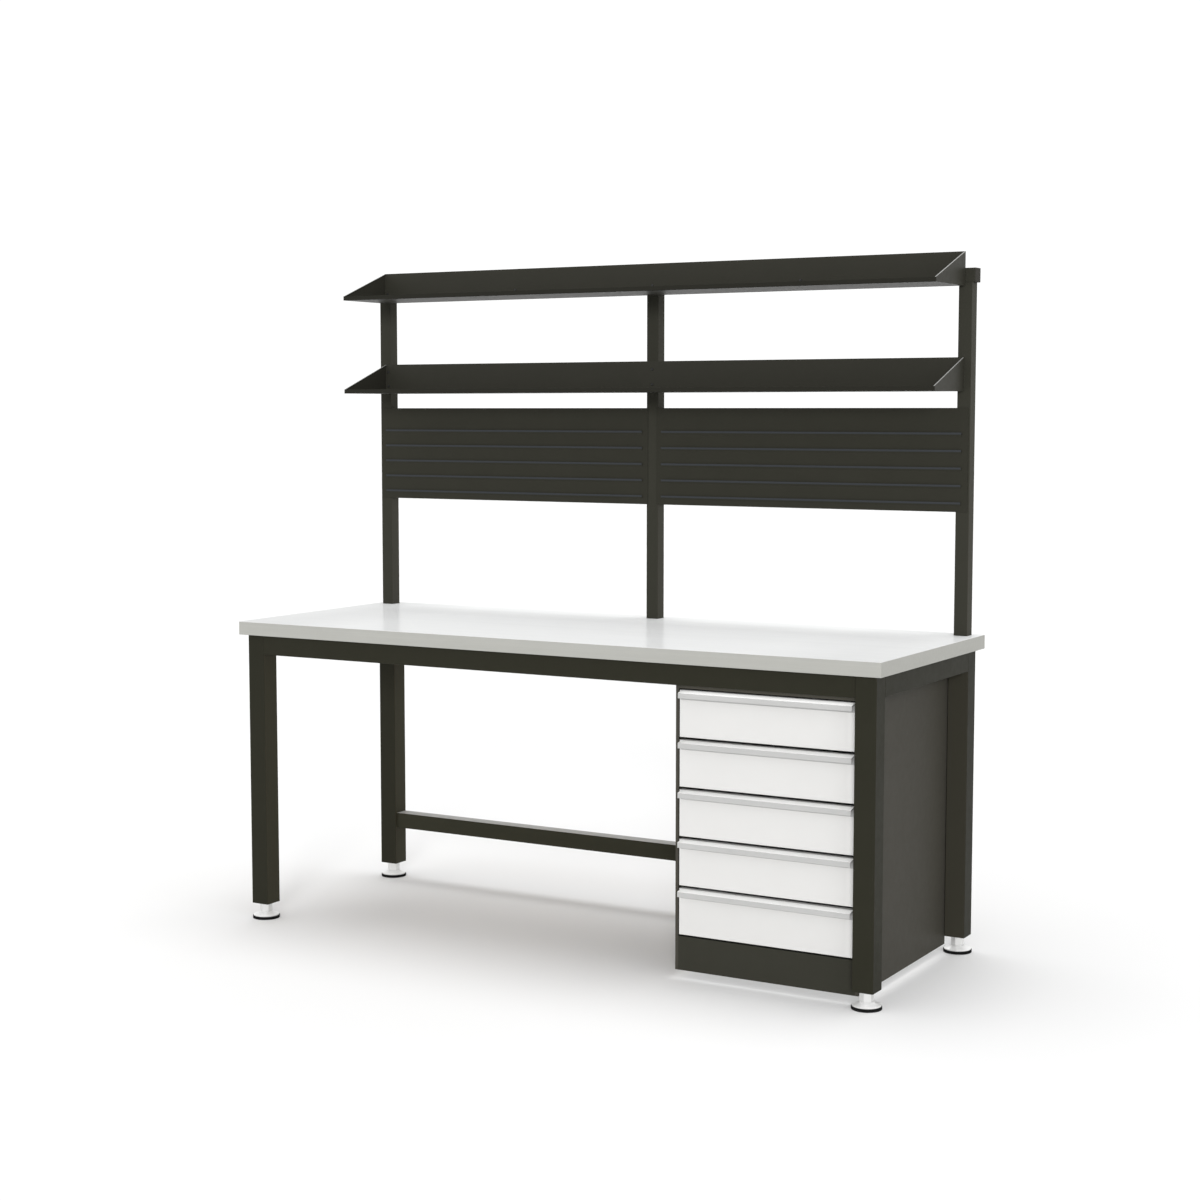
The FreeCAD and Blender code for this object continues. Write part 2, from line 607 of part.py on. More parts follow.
screws = []
sheet_y = num(d.post_fy) - num(d.shelf_thk)
for x in (-shelf_screw_x, -494.0, 0.0, 494.0, shelf_screw_x):
    screws.append(screw(4.0, 2.6, num(d.tap_rad), 12.0, Vector(x, sheet_y, num(d.post_top) + num(d.post_size) / 2), Y))
for x in (-shelf_screw_x, 0.0, shelf_screw_x):
    for z in shelf_screw_z:
        screws.append(screw(4.0, 2.6, num(d.tap_rad), 12.0, Vector(x, sheet_y, z), Y))
face_in, face_mid = num(inner_face) - num(d.pan_thk), num(d.post_size) / 2 + num(d.pan_thk)
for z in panel_screw_z:
    screws.append(screw(4.0, 2.6, num(d.tap_rad), 12.0, Vector(-face_in, panel_screw_y, z), -X))
    screws.append(screw(4.0, 2.6, num(d.tap_rad), 12.0, Vector(face_in, panel_screw_y, z), X))
    screws.append(screw(4.0, 2.6, num(d.tap_rad), 12.0, Vector(-face_mid, panel_screw_y, z), X))
    screws.append(screw(4.0, 2.6, num(d.tap_rad), 12.0, Vector(face_mid, panel_screw_y, z), -X))
fasteners("shelf_and_panel_screws", screws)

# ------------------------------------------------------------------- cabinet

t = d.cab_thk
lap = d.cab_lap


def cabinet_wall(label, outer, s):
    """Side wall with a folded front edge and two welded strips that pack the
    runners out past that edge; outer face at 'outer'."""
    if s > 0:
        wall_x, lap_x = (outer, outer + t), (outer, outer + lap)
        strip_x = (outer + t, outer + t + d.strip_thk)
    else:
        wall_x, lap_x = (outer - t, outer), (outer - lap, outer)
        strip_x = (outer - t - d.strip_thk, outer - t)
    wall = box(label + "_sheet", wall_x, (d.cab_fy, d.cab_by), (d.cab_low, under_z))
    edge = box(label + "_edge", lap_x, (d.cab_fy, d.cab_fy + t), (d.cab_low, under_z))
    strips = []
    for y in (d.cab_fy + 40, d.cab_fy + 500):
        strips.append(box(label + "_strip", strip_x, (y, y + d.strip_wid), (d.plinth_top, d.rail_low)))
    sub_part(join(label, [wall, edge] + strips), label)


cabinet_wall("cabinet_left_wall", d.cab_lx, 1)
cabinet_wall("cabinet_right_wall", d.cab_rx, -1)
sub_part(box("cabinet_back", (d.cab_lx + t, d.cab_rx - t), (d.cab_by - t, d.cab_by), (d.cab_low, under_z)), "cabinet_back")

lid = box("cab_lid", (d.cab_lx + t, d.cab_rx - t), (d.cab_fy + t, d.cab_by - t), (under_z - t, under_z))
rail = box("cab_rail", (d.cab_lx + lap, d.cab_rx - lap), (d.cab_fy, d.cab_fy + t), (d.rail_low, under_z))
hang = [rod("hang_drill", d.insert_rad + 0.2, 8.0, x, y, under_z - 5) for x, y in hang_places]
sub_part(less("cabinet_top_drilled", join("cabinet_top_whole", [lid, rail]), hang), "cabinet_top")

deck = box("cab_deck", (d.cab_lx + t, d.cab_rx - t), (d.cab_fy + t, d.cab_by - t), (d.plinth_top - t, d.plinth_top))
plinth = box("cab_plinth", (d.cab_lx + lap, d.cab_rx - lap), (d.cab_fy, d.cab_fy + t), (d.cab_low, d.plinth_top))
pan = box("cab_pan", (d.cab_lx + t, d.cab_rx - t), (d.cab_fy + t, d.cab_by - t), (d.cab_low, d.cab_low + t))
sub_part(join("cabinet_base", [deck, plinth, pan]), "cabinet_plinth_base")

fasteners("cabinet_hanging_bolts", [
    screw(7.0, 5.3, num(d.insert_rad), 30.0, Vector(x, y, num(under_z) - num(t)), Z, True) for x, y in hang_places])


def channel(x0, x1, y0, y1, half, thk, zc, open_to):
    """C-section rail between x0 and x1, open to +X (1) or -X (-1)."""
    block = Part.makeBox(x1 - x0, y1 - y0, 2 * half, Vector(x0, y0, zc - half))
    a, b = (x0 + thk, x1 + 1) if open_to > 0 else (x0 - 1, x1 - thk)
    return block.cut(Part.makeBox(b - a, y1 - y0 + 2, 2 * (half - thk), Vector(a, y0 - 1, zc - half + thk)))


pack = num(t) + num(d.strip_thk)
lx, rx = num(d.cab_lx) + pack, num(d.cab_rx) - pack
run_y0 = num(d.cab_fy) + num(d.drw_thk) + 2
run_y1 = run_y0 + num(d.run_len)
half, thk, gap = num(d.run_half), num(d.run_thk), 0.3
low_edges = [d.drw_top - d.drw_hgt - d.drw_pitch * k for k in range(5)]

fixed = []
for low in low_edges:
    zc = num(low) + num(d.run_up)
    fixed.append(channel(lx, lx + 9, run_y0, run_y1, half, thk, zc, 1))
    fixed.append(channel(rx - 9, rx, run_y0, run_y1, half, thk, zc, -1))
rails = doc.addObject("Part::Feature", "runner_rails")
rails.Shape = Part.makeCompound(fixed)
rails.Placement = Placement()
sub_part(rails, "runner_cabinet_rails")

# ------------------------------------------------------------------- drawers

fx0, fx1 = d.cab_lx + d.drw_gap, d.cab_rx - d.drw_gap
bx0, bx1 = d.cab_lx + d.box_gap, d.cab_rx - d.box_gap
face_y = d.cab_fy
back_y = d.cab_fy + d.drw_thk

for k, low in enumerate(low_edges, start=1):
    name = "drawer_%d" % k
    # folded front pan, open to the rear
    body = doc.addObject("PartDesign::Body", name + "_front")
    sk = sketch(body, name + "_outline", "XZ_Plane")
    rectangle(sk, (Dim(0.0, "0"), fx1 - fx0), (Dim(0.0, "0"), d.drw_hgt))
    pad(body, sk, d.drw_thk)
    round_edges(body, d.drw_rad, lambda e: all(abs(v.Point.y + num(d.drw_thk)) < 1e-6 for v in e.Vertexes))
    sk = sketch(body, name + "_inside", "XZ_Plane")
    rectangle(sk, (d.drw_sheet, fx1 - fx0 - d.drw_sheet), (d.drw_sheet, d.drw_hgt - d.drw_sheet))
    pocket(body, sk, d.drw_thk - d.drw_sheet, True)
    place(body, fx0, back_y, low)
    sub_part(body, name + "_front")

    # full-width grip: sloping top, turned-down nose and a fixing leaf
    body = doc.addObject("PartDesign::Body", name + "_grip")
    sk = sketch(body, name + "_profile", "YZ_Plane")
    o = -d.grip_out
    outline(sk, [(Dim(0.0, "0"), Dim(0.0, "0")), (o, -5.4), (o, -20.2), (o + 2.5, -20.2), (o + 2.5, -8.3), (-2.0, -3.6), (-2.0, -26.0), (Dim(0.0, "0"), -26.0)])
    pad(body, sk, fx1 - fx0 - d.grip_inset * 2)
    round_edges(body, 1.1, lambda e: along(e, X) and abs(e.Vertexes[0].Point.y + num(d.grip_out)) < 1e-6)
    place(body, fx0 + d.grip_inset, face_y, low + d.drw_hgt - 0.2)
    sub_part(body, name + "_grip")

    # sheet box with the inner runner profiles welded to its sides
    box_low = low + d.box_up
    outer = box(name + "_outer", (bx0, bx1), (back_y, back_y + d.box_dep), (box_low, box_low + d.box_hgt))
    inside = box(name + "_inside", (bx0 + d.box_thk, bx1 - d.box_thk), (back_y + d.box_thk, back_y + d.box_dep - d.box_thk), (box_low + d.box_thk, box_low + d.box_hgt + 5))
    tray = less(name + "_tray", outer, [inside])
    zc = num(low) + num(d.run_up)
    h3 = half - 2 * (thk + gap)
    inner = []
    for s, edge in ((1, lx), (-1, rx)):
        near, far = 4.0, num(d.box_gap) - pack
        x0, x1 = (edge + near, edge + far) if s > 0 else (edge - far, edge - near)
        inner.append(channel(x0, x1, run_y0 + 2, run_y1 + 2, h3, thk, zc, -s))
    welded = doc.addObject("Part::Feature", name + "_inner_rails")
    welded.Shape = Part.makeCompound(inner)
    welded.Placement = Placement()
    sub_part(join(name + "_box", [tray, welded]), name + "_box")

    # intermediate runner members, which travel half as far as the drawer
    h2 = half - thk - gap
    middle = [channel(lx + 2, lx + 11, run_y0, run_y1, h2, thk, zc, 1), channel(rx - 11, rx - 2, run_y0, run_y1, h2, thk, zc, -1)]
    mid = doc.addObject("Part::Feature", name + "_runners")
    mid.Shape = Part.makeCompound(middle)
    mid.Placement = Placement()
    sub_part(mid, name + "_middle_runners")

# ---------------------------------------------------------- levelling feet

zero = Dim(0.0, "0")
for label, sx, sy in (("front_left", -1, -1), ("front_right", 1, -1), ("rear_left", -1, 1), ("rear_right", 1, 1)):
    cx = (d.frame_hx - d.leg_size / 2) * sx
    cy = (d.frame_hy - d.leg_size / 2) * sy

    body = doc.addObject("PartDesign::Body", "foot_pad_" + label)
    sk = sketch(body, "pad_profile_" + label, "XZ_Plane")
    r, h = d.pad_rad, d.pad_hgt
    outline(sk, [(zero, zero), (r - 0.8, zero), (r, 0.8), (r, h - 0.6), (r - 0.8, h), (zero, h)])
    rev = body.newObject("PartDesign::Revolution", "Turn")
    rev.Profile = sk
    rev.ReferenceAxis = (plane(body, "Z_Axis"), [""])
    rev.Angle = 360.0
    body.Tip = rev
    doc.recompute()
    place(body, cx, cy, 0.0)
    sub_part(body, "foot_%s_pad" % label)

    body = doc.addObject("PartDesign::Body", "foot_spindle_" + label)
    sk = sketch(body, "spindle_profile_" + label, "XZ_Plane")
    outline(sk, [(zero, h), (d.disc_rad, h), (d.disc_rad + 0.8, h + 1.2), (d.disc_rad, h + 3.0), (d.disc_rad - 6.0, h + 5.2),
                 (d.disc_rad - 14.0, h + 8.6), (d.hex_af / 2 + 3.6, h + 12.0), (d.stem_rad, h + 12.0), (d.stem_rad, d.stem_top - 1.5),
                 (d.stem_rad - 1.5, d.stem_top), (zero, d.stem_top)])
    rev = body.newObject("PartDesign::Revolution", "Turn")
    rev.Profile = sk
    rev.ReferenceAxis = (plane(body, "Z_Axis"), [""])
    rev.Angle = 360.0
    body.Tip = rev
    doc.recompute()
    sk = sketch(body, "hex_" + label, "XY_Plane", h + 12.0)
    c = d.hex_af / math.sqrt(3.0)
    outline(sk, [(d.hex_af / 2, c / 2), (zero, c), (-d.hex_af / 2, c / 2), (-d.hex_af / 2, -c / 2), (zero, -c), (d.hex_af / 2, -c / 2)])
    pad(body, sk, d.leg_low - d.foot_gap - h - 12.0)
    place(body, cx, cy, 0.0)
    sub_part(body, "foot_%s_spindle" % label)

# -------------------------------------------------------------------- output

doc.recompute()
for o in doc.Objects:
    if "Invalid" in o.State or "Error" in o.State:
        raise RuntimeError("%s failed: %s" % (o.Label, o.State))
names = set()
for o in parts:
    if o.Shape.isNull() or not o.Shape.isValid() or not o.Shape.Solids:
        raise RuntimeError("%s has no valid solid" % o.Label)
    if o.Label in names:
        raise RuntimeError("%s is used twice" % o.Label)
    names.add(o.Label)

os.makedirs("parts", exist_ok=True)
for o in parts:
    o.Shape.exportStep("parts/%s.step" % o.Label)
    b = o.Shape.BoundBox
    print("%-28s solids %2d  x %8.1f %8.1f  y %8.1f %8.1f  z %8.1f %8.1f  cm3 %9.2f" % (
        o.Label, len(o.Shape.Solids), b.XMin, b.XMax, b.YMin, b.YMax, b.ZMin, b.ZMax, o.Shape.Volume / 1000.0))
print(len(parts), "sub-parts")
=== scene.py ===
import bpy
import json
import math
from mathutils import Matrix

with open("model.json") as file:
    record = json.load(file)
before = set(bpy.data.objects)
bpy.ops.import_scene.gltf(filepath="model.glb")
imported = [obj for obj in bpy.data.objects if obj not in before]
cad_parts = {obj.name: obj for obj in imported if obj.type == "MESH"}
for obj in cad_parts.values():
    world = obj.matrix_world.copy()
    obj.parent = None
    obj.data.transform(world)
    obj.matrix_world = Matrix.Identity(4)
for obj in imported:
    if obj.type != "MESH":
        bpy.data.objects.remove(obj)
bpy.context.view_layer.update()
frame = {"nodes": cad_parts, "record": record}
nodes = frame["nodes"]
scene = bpy.context.scene
scene.view_settings.view_transform = "Standard"


# ------------------------------------------------------------------ materials

class Shader:
    """A principled material with helpers for the procedural detail."""

    def __init__(self, name):
        self.mat = bpy.data.materials.new(name)
        self.mat.use_nodes = True
        self.tree = self.mat.node_tree
        self.tree.nodes.clear()
        out = self.tree.nodes.new("ShaderNodeOutputMaterial")
        self.bsdf = self.tree.nodes.new("ShaderNodeBsdfPrincipled")
        self.link(self.bsdf.outputs["BSDF"], out.inputs["Surface"])
        self.coord = self.tree.nodes.new("ShaderNodeTexCoord").outputs["Object"]

    def link(self, a, b):
        self.tree.links.new(a, b)

    def node(self, kind):
        return self.tree.nodes.new(kind)

    def set(self, name, value):
        self.bsdf.inputs[name].default_value = value

    def noise(self, scale, detail=2.0, rough=0.5, stretch=None):
        n = self.node("ShaderNodeTexNoise")
        n.inputs["Scale"].default_value = scale
        n.inputs["Detail"].default_value = detail
        n.inputs["Roughness"].default_value = rough
        source = self.coord
        if stretch:
            m = self.node("ShaderNodeMapping")
            m.inputs["Scale"].default_value = stretch
            self.link(source, m.inputs["Vector"])
            source = m.outputs["Vector"]
        self.link(source, n.inputs["Vector"])
        return n.outputs["Fac"]

    def span(self, value, low, high, a=0.3, b=0.7):
        m = self.node("ShaderNodeMapRange")
        m.inputs["From Min"].default_value = a
        m.inputs["From Max"].default_value = b
        m.inputs["To Min"].default_value = low
        m.inputs["To Max"].default_value = high
        self.link(value, m.inputs["Value"])
        return m.outputs["Result"]

    def ramp(self, value, stops):
        r = self.node("ShaderNodeValToRGB")
        while len(r.color_ramp.elements) < len(stops):
            r.color_ramp.elements.new(0.5)
        for e, (p, c) in zip(r.color_ramp.elements, stops):
            e.position = p
            e.color = (*c, 1.0)
        self.link(value, r.inputs["Fac"])
        return r.outputs["Color"]

    def mix(self, fac, a, b):
        m = self.node("ShaderNodeMix")
        m.data_type = "RGBA"
        self.link(fac, m.inputs[0])
        for socket, v in ((m.inputs[6], a), (m.inputs[7], b)):
            if isinstance(v, tuple):
                socket.default_value = (*v, 1.0)
            else:
                self.link(v, socket)
        return m.outputs[2]

    def bevel(self, radius):
        b = self.node("ShaderNodeBevel")
        b.samples = 6
        b.inputs["Radius"].default_value = radius
        return b.outputs["Normal"]

    def edge(self, radius, sharp=0.9):
        """1 along the edges of the mesh, 0 on its faces."""
        d = self.node("ShaderNodeVectorMath")
        d.operation = "DOT_PRODUCT"
        self.link(self.bevel(radius), d.inputs[0])
        self.link(self.node("ShaderNodeNewGeometry").outputs["True Normal"], d.inputs[1])
        return self.span(d.outputs["Value"], 1.0, 0.0, sharp, 0.995)

    def bump(self, height, strength, distance, radius=None):
        b = self.node("ShaderNodeBump")
        b.inputs["Strength"].default_value = strength
        b.inputs["Distance"].default_value = distance
        self.link(height, b.inputs["Height"])
        if radius:
            self.link(self.bevel(radius), b.inputs["Normal"])
        self.link(b.outputs["Normal"], self.bsdf.inputs["Normal"])


def powder(name, low, high, worn, rough, radius=0.0009, grain=1300.0, depth=0.00005, proud=None, rising=None, facing=None, beside=None):
    """Powder coat: orange-peel grain, a faint drift of tone and thin worn edges.

    'proud' is (y, colour): what stands further forward than y has that colour; it paints shade on the shelf lips and a
    reflection on the louvre lips.
    'rising' is (a, b, colour): faces whose normal's Z lies between a and b take that colour in patches, a painted
    highlight and sheen on faces that tilt up.
    'facing' is (direction, colour): faces that look that way have that colour, painted light on that side of a part.
    'beside' is (a, b, colour): the tone goes over to that colour from x = a to x = b, painted light towards that edge."""
    s = Shader(name)
    tone = s.ramp(s.noise(9.0, 5.0, 0.65), [(0.30, low), (0.70, high)])
    # painted shade and painted reflection: parts further forward than y take the given colour
    if proud:
        axes = s.node("ShaderNodeSeparateXYZ")
        s.link(s.coord, axes.inputs[0])
        tone = s.mix(s.span(axes.outputs["Y"], 1.0, 0.0, proud[0] - 0.0004, proud[0] + 0.0004), tone, proud[1])
    # painted highlight and sheen: faces that tilt up take the given colour, in patches
    if rising:
        axes = s.node("ShaderNodeSeparateXYZ")
        s.link(s.node("ShaderNodeNewGeometry").outputs["True Normal"], axes.inputs[0])
        near = s.node("ShaderNodeMath")
        near.operation = "COMPARE"
        s.link(axes.outputs["Z"], near.inputs[0])
        near.inputs[1].default_value = (rising[0] + rising[1]) / 2
        near.inputs[2].default_value = (rising[1] - rising[0]) / 2
        painted_sheen_patches = s.node("ShaderNodeMath")
        painted_sheen_patches.operation = "MULTIPLY"
        s.link(near.outputs["Value"], painted_sheen_patches.inputs[0])
        s.link(s.span(s.noise(30.0, 4.0, 0.6), 0.80, 1.0), painted_sheen_patches.inputs[1])
        tone = s.mix(painted_sheen_patches.outputs["Value"], tone, rising[2])
    # painted light: faces that look the given way take the given colour
    if facing:
        d = s.node("ShaderNodeVectorMath")
        d.operation = "DOT_PRODUCT"
        s.link(s.node("ShaderNodeNewGeometry").outputs["True Normal"], d.inputs[0])
        d.inputs[1].default_value = facing[0]
        tone = s.mix(s.span(d.outputs["Value"], 0.0, 1.0, 0.70, 0.95), tone, facing[1])
    # painted light: the tone goes over to the given colour towards one x
    if beside:
        axes = s.node("ShaderNodeSeparateXYZ")
        s.link(s.coord, axes.inputs[0])
        tone = s.mix(s.span(axes.outputs["X"], 0.0, 1.0, beside[0], beside[1]), tone, beside[2])
    chips = s.node("ShaderNodeMath")
    chips.operation = "MULTIPLY"
    s.link(s.edge(0.0011), chips.inputs[0])
    s.link(s.span(s.noise(60.0, 5.0, 0.65), 0.0, 1.0, 0.45, 0.75), chips.inputs[1])
    s.link(s.mix(chips.outputs["Value"], tone, worn), s.bsdf.inputs["Base Color"])
    s.link(s.span(s.noise(45.0, 4.0, 0.6), rough - 0.03, rough + 0.04), s.bsdf.inputs["Roughness"])
    s.bump(s.noise(grain, 2.0, 0.5), 0.30, depth, radius)
    return s


def brushed(name, low, high, rough, stretch, radius=0.0009, line=0.00002, top=None, fade=None, ends=None, streak=None):
    """Metal with a fine directional brush; 'top' lightens faces that look up, painted light from above.

    'fade' is (front, rear, share): those faces have that share of their tone at the front, painted light at the rear
    against the shade cast there.
    'ends' is (a, b, share): they fall to that share between those distances from the middle, painted shade towards the
    ends.
    'streak' is (stretch, share): broader brush marks, down to that share of the tone."""
    s = Shader(name)
    s.set("Metallic", 1.0)
    fine = s.noise(1.0, 3.0, 0.6, stretch)
    cloud = s.noise(7.0, 3.0, 0.55)
    tone = s.ramp(cloud, [(0.30, low), (0.70, high)])
    # painted light from above: faces that look up take the lighter top tone
    if top:
        axes = s.node("ShaderNodeSeparateXYZ")
        s.link(s.node("ShaderNodeNewGeometry").outputs["Normal"], axes.inputs[0])
        upper = s.ramp(cloud, [(0.30, top[0]), (0.70, top[1])])
        # painted light: the top is darker towards the front and full at the rear, where things above shade it
        if fade:
            place = s.node("ShaderNodeSeparateXYZ")
            s.link(s.coord, place.inputs[0])
            upper = s.mix(s.span(place.outputs["Y"], 1.0, 0.0, fade[0], fade[1]), upper, s.ramp(cloud, [(0.30, tuple(v * fade[2] for v in top[0])), (0.70, tuple(v * fade[2] for v in top[1]))]))
        # painted shade: the top falls darker towards both ends
        if ends:
            reach = s.node("ShaderNodeMath")
            reach.operation = "ABSOLUTE"
            s.link(place.outputs["X"], reach.inputs[0])
            outer = s.node("ShaderNodeMix")
            outer.data_type = "RGBA"
            outer.blend_type = "MULTIPLY"
            s.link(s.span(reach.outputs["Value"], 0.0, 1.0, ends[0], ends[1]), outer.inputs[0])
            s.link(upper, outer.inputs[6])
            outer.inputs[7].default_value = (ends[2], ends[2], ends[2], 1.0)
            upper = outer.outputs[2]
        tone = s.mix(s.span(axes.outputs["Z"], 0.0, 1.0, 0.35, 0.95), tone, upper)
    lines = s.node("ShaderNodeMix")
    lines.data_type = "RGBA"
    lines.blend_type = "MULTIPLY"
    lines.inputs[0].default_value = 1.0
    s.link(tone, lines.inputs[6])
    s.link(s.ramp(fine, [(0.30, (0.955, 0.955, 0.955)), (0.70, (1.0, 1.0, 1.0))]), lines.inputs[7])
    drawn = lines.outputs[2]
    if streak:
        broad = s.node("ShaderNodeMix")
        broad.data_type = "RGBA"
        broad.blend_type = "MULTIPLY"
        broad.inputs[0].default_value = 1.0
        s.link(drawn, broad.inputs[6])
        s.link(s.ramp(s.noise(1.0, 4.0, 0.65, streak[0]), [(0.32, (streak[1],) * 3), (0.66, (1.0, 1.0, 1.0))]), broad.inputs[7])
        drawn = broad.outputs[2]
    s.link(drawn, s.bsdf.inputs["Base Color"])
    both = s.node("ShaderNodeMath")
    both.operation = "MULTIPLY_ADD"
    s.link(fine, both.inputs[0])
    both.inputs[1].default_value = 0.8
    s.link(cloud, both.inputs[2])
    s.link(s.span(both.outputs["Value"], rough - 0.03, rough + 0.03, 0.6, 1.2), s.bsdf.inputs["Roughness"])
    s.bump(fine, 0.25, line, radius)
    return s


dark = powder("dark_powder_coat", (0.0201, 0.0196, 0.0134), (0.0216, 0.0211, 0.0146), (0.050, 0.048, 0.040), 0.44)
# painted light: the coats from here down to the stretcher's are lighter and darker copies of the dark coat, one for
# each group of parts, standing in for how light falls on them; the left legs' copy is darker, with painted light on
# faces towards +x
left = powder("left_legs_painted_light_coat", (0.0184, 0.0180, 0.0124), (0.0198, 0.0194, 0.0134), (0.050, 0.048, 0.040), 0.44,
              facing=((1.0, 0.0, 0.0), (0.0345, 0.0325, 0.0215)))
# rear right leg: a darker copy, with painted light on faces towards -y
hidden = powder("rear_right_leg_painted_light_coat", (0.0181, 0.0176, 0.0121), (0.0194, 0.0190, 0.0131), (0.050, 0.048, 0.040), 0.44,
                facing=((0.0, -1.0, 0.0), (0.0345, 0.0325, 0.0245)))
# plinth and top rail: a lighter copy, painted light
rear = powder("plinth_and_rail_painted_light_coat", (0.0309, 0.0304, 0.0239), (0.0328, 0.0323, 0.0256), (0.060, 0.058, 0.050), 0.44)
# uprights: a lighter copy, with painted light on faces towards +x
post = powder("upright_painted_light_coat", (0.0309, 0.0304, 0.0239), (0.0328, 0.0323, 0.0256), (0.060, 0.058, 0.050), 0.44,
              facing=((1.0, 0.0, 0.0), (0.0465, 0.0450, 0.0365)))
# cabinet: a lighter copy, painted light
coat = powder("cabinet_painted_light_coat", (0.0473, 0.0446, 0.0367), (0.0500, 0.0473, 0.0390), (0.060, 0.058, 0.050), 0.46)
front = min(v.co.y for v in nodes["shelf_upper"].data.vertices)
# shelves: a lighter copy, with painted shade on the front lip and a painted highlight on faces that tilt up
tray = powder("shelf_painted_light_coat", (0.0302, 0.0294, 0.0232), (0.0320, 0.0312, 0.0247), (0.060, 0.058, 0.050), 0.44,
              proud=(front + 0.0030, (0.0152, 0.0148, 0.0112)), rising=(0.30, 0.95, (0.34, 0.34, 0.33)))
lip = min(v.co.y for v in nodes["louvre_panel_left"].data.vertices)
# louvre panels: a lighter copy, with a painted bluish reflection on the lips' fronts
louvre = powder("louvre_painted_light_coat", (0.0250, 0.0245, 0.0188), (0.0269, 0.0264, 0.0203), (0.055, 0.053, 0.046), 0.44,
                proud=(lip + 0.0012, (0.0345, 0.0375, 0.0405)))
# rear stretcher: a lighter copy, with a painted sheen in patches on its top faces
stretcher_sheen_coat = powder("stretcher_painted_sheen_coat", (0.0250, 0.0244, 0.0166), (0.0268, 0.0262, 0.0180), (0.060, 0.058, 0.050), 0.42,
                rising=(0.90, 1.1, (0.40, 0.40, 0.39)))
for s, level in ((dark, 0.04), (left, 0.04), (hidden, 0.04), (rear, 0.015), (post, 0.015), (coat, 0.04), (tray, 0.08), (louvre, 0.04), (stretcher_sheen_coat, 0.04)):
    s.set("Specular IOR Level", level)
# drawer fronts: painted light, lighter towards their right edge, against the shade of the leg beside them
side = max(v.co.x for v in nodes["drawer_1_front"].data.vertices)
white = powder("white_powder_coat", (0.558, 0.554, 0.544), (0.568, 0.564, 0.554), (0.53, 0.525, 0.515), 0.42,
               beside=(side - 0.030, side, (0.66, 0.655, 0.643)))
grey = powder("grey_powder_coat", (0.34, 0.34, 0.335), (0.36, 0.36, 0.355), (0.45, 0.45, 0.45), 0.42)

# worktop: painted light, a top far lighter than its edges, darker towards the front and the ends
steel = brushed("stainless_steel", (0.362, 0.362, 0.338), (0.372, 0.372, 0.348), 0.18, (3.0, 900.0, 900.0), 0.0012, 0.00001,
                top=((0.922, 0.930, 0.928), (0.937, 0.945, 0.943)), fade=(-0.39, 0.20, 0.81), ends=(0.66, 0.92, 0.89),
                streak=((0.6, 110.0, 110.0), 0.955))
steel.set("Metallic", 0.16)
steel.set("Specular IOR Level", 0.0)
# grips: painted light, a lighter tone on faces that look up
alu = brushed("satin_aluminium", (0.41, 0.41, 0.403), (0.43, 0.43, 0.423), 0.48, (4.0, 1400.0, 1400.0),
              top=((0.90, 0.90, 0.89), (0.92, 0.92, 0.91)))
alu.set("Metallic", 0.15)
zinc = brushed("zinc_steel", (0.52, 0.53, 0.55), (0.62, 0.62, 0.61), 0.36, (900.0, 6.0, 900.0))
# feet: painted light, a lighter tone on faces that look up
bright = brushed("bright_zinc", (0.66, 0.66, 0.65), (0.70, 0.70, 0.69), 0.30, (900.0, 900.0, 40.0), top=((0.93, 0.93, 0.92), (0.95, 0.95, 0.94)))
bright.set("Metallic", 0.35)

screw = powder("black_screw", (0.012, 0.012, 0.012), (0.018, 0.018, 0.018), (0.10, 0.10, 0.10), 0.34, 0.0004, 2500.0, 0.00003)
plastic = powder("black_plastic", (0.033, 0.031, 0.026), (0.037, 0.035, 0.030), (0.05, 0.05, 0.045), 0.5, 0.0008, 3000.0, 0.00005)
rubber = powder("black_rubber", (0.004, 0.004, 0.004), (0.007, 0.007, 0.007), (0.02, 0.02, 0.02), 0.75, 0.0012, 700.0, 0.00012)
plastic.set("Specular IOR Level", 0.02)
rubber.set("Specular IOR Level", 0.10)

board = Shader("core_board")
chip = board.node("ShaderNodeTexVoronoi")
chip.inputs["Scale"].default_value = 260.0
board.link(board.coord, chip.inputs["Vector"])
flake = board.ramp(board.noise(180.0, 4.0, 0.7), [(0.30, (0.30, 0.21, 0.12)), (0.52, (0.46, 0.34, 0.21)), (0.72, (0.60, 0.47, 0.31))])
board.link(flake, board.bsdf.inputs["Base Color"])
board.set("Roughness", 0.82)
board.bump(chip.outputs["Distance"], 0.5, 0.0004)

finish = {
    "dark_powder_coat": dark, "white_powder_coat": white, "grey_powder_coat": grey,
    "stainless_steel": steel, "satin_aluminium": alu, "zinc_steel": zinc, "bright_zinc": bright,
    "black_screw": screw, "black_plastic": plastic, "black_rubber": rubber, "core_board": board,
}
for entry in frame["record"]["subparts"]:
    o = nodes[entry["node"]]
    o.data.materials.clear()
    made = finish[entry["material_slot"]]
    # painted light: parts in the dark coat are given the lit and shaded copies above, by node name
    if made is dark:
        made = next((m for start, m in (("leg_front_left", left), ("leg_rear_left", left), ("leg_rear_right", hidden), ("cabinet_plinth", rear), ("cabinet_", coat), ("rear_stretcher", stretcher_sheen_coat), ("upright_", post), ("top_rail", rear), ("shelf_", tray), ("louvre_", louvre))
                     if entry["node"].startswith(start)), dark)
    o.data.materials.append(made.mat)


# ----------------------------------------------------------- floor and light

mesh = bpy.data.meshes.new("floor")
r = 60.0
mesh.from_pydata([(-r, -r, 0), (r, -r, 0), (r, r, 0), (-r, r, 0)], [], [(0, 1, 2, 3)])
floor = bpy.data.objects.new("floor", mesh)
scene.collection.objects.link(floor)
pale = Shader("pale_floor")
pale.set("Base Color", (0.80, 0.80, 0.80, 1.0))
pale.set("Roughness", 0.9)
pale.set("Specular IOR Level", 0.0)
mesh.materials.append(pale.mat)

world = bpy.data.worlds.new("studio")
world.use_nodes = True
dome = world.node_tree


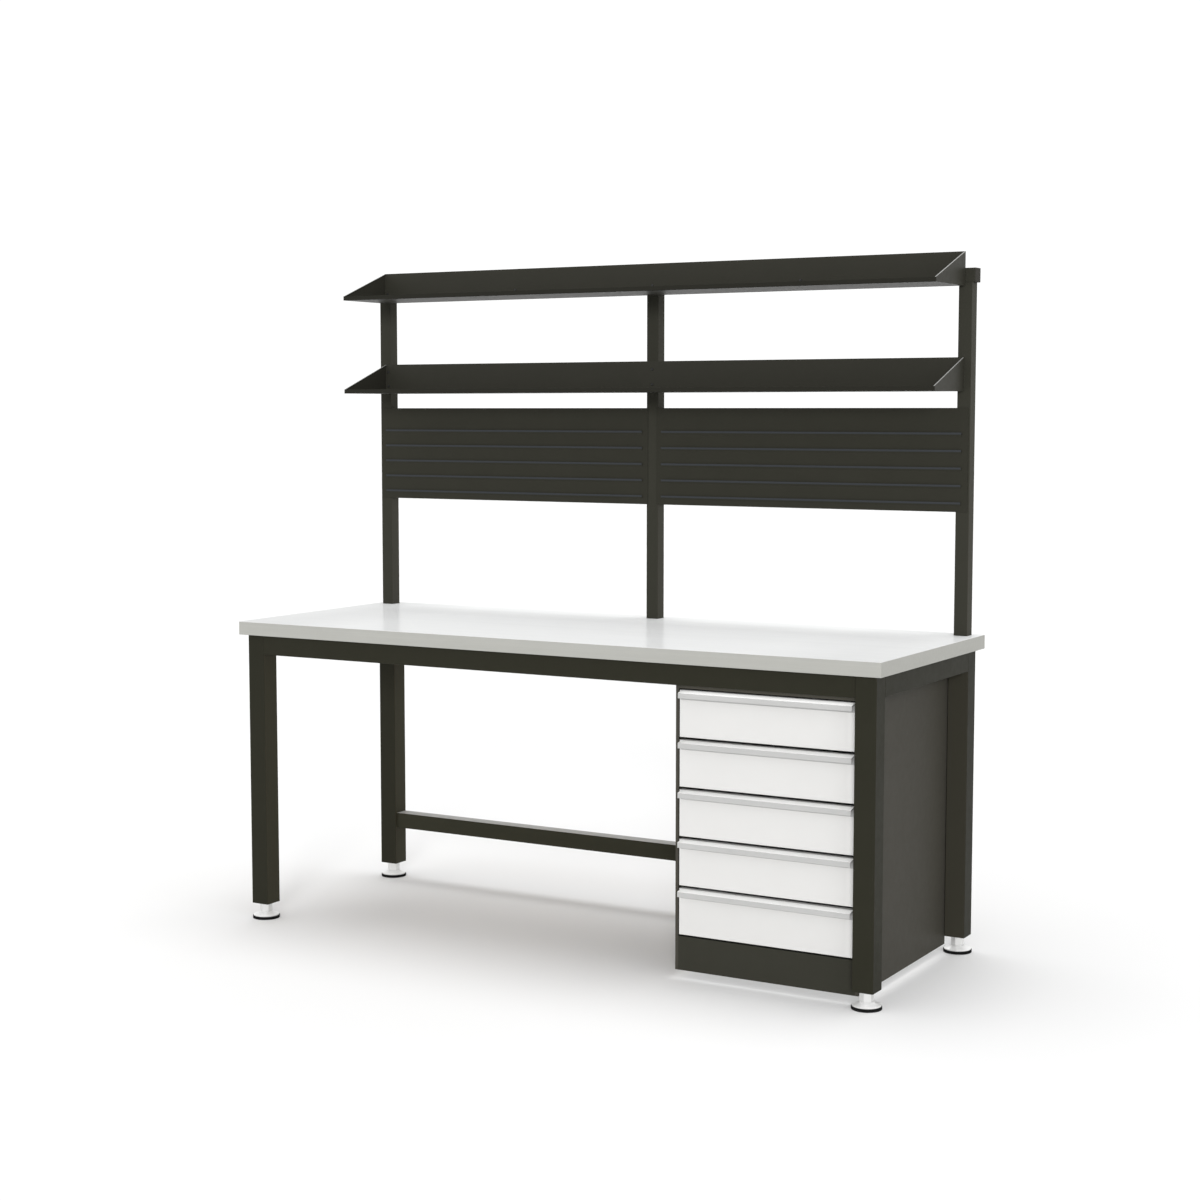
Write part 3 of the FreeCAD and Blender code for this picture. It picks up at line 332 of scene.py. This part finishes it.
def dome_node(kind, *links, **values):
    n = dome.nodes.new(kind)
    for k, v in values.items():
        setattr(n, k, v)
    for k, v in enumerate(links):
        if isinstance(v, (int, float, tuple)):
            n.inputs[k].default_value = v
        elif v is not None:
            dome.links.new(v, n.inputs[k])
    return n


way = dome_node("ShaderNodeTexCoord").outputs["Generated"]
# brighter low down all round
axes = dome_node("ShaderNodeSeparateXYZ", way)
low = dome_node("ShaderNodeMapRange", axes.outputs["Z"], 0.15, 0.38, 1.42, 1.0, interpolation_type="SMOOTHSTEP")
back = dome.nodes["Background"]
dome.links.new(low.outputs[0], back.inputs["Color"])
back.inputs["Strength"].default_value = 0.76
scene.world = world

# a broad soft light overhead and a flat one from the front
for name, power, angle, tilt, turn in (("overhead", 1.35, 44.0, -6.0, 0.0), ("key", 2.00, 14.0, 79.0, 27.0)):
    lamp = bpy.data.lights.new(name, "SUN")
    lamp.energy = power
    lamp.angle = math.radians(angle)
    o = bpy.data.objects.new(name, lamp)
    o.location = (0.0, 0.0, 6.0)
    o.rotation_euler = (math.radians(tilt), 0.0, math.radians(turn))
    o.visible_glossy = name != "key"  # no glare on the top when seen from behind
    scene.collection.objects.link(o)

# weak fills where the frame shuts the studio light out: below the cabinet and below the front apron
for name, power, (x, y, z), (w, h) in (("fill_cabinet", 0.56, (0.700, -0.003, 0.0215), (0.570, 0.650)), ("fill_apron", 0.092, (0.695, -0.346, 0.8210), (0.52, 0.036))):
    lamp = bpy.data.lights.new(name, "AREA")
    lamp.shape = "RECTANGLE"
    lamp.size, lamp.size_y = w, h
    lamp.energy = power
    o = bpy.data.objects.new(name, lamp)
    o.location = (x, y, z)
    o.visible_camera = False
    scene.collection.objects.link(o)

# --------------------------------------------------------------------- camera

lens = bpy.data.cameras.new("camera")
lens.sensor_fit = "HORIZONTAL"
lens.sensor_width = 36.0
lens.lens = 62.963
lens.clip_end = 200.0
camera = bpy.data.objects.new("camera", lens)
camera.location = (3.0863, -5.3542, 1.5637)
camera.rotation_euler = (math.radians(90.0 - 5.17), 0.0, math.radians(29.977))
scene.collection.objects.link(camera)
scene.camera = camera
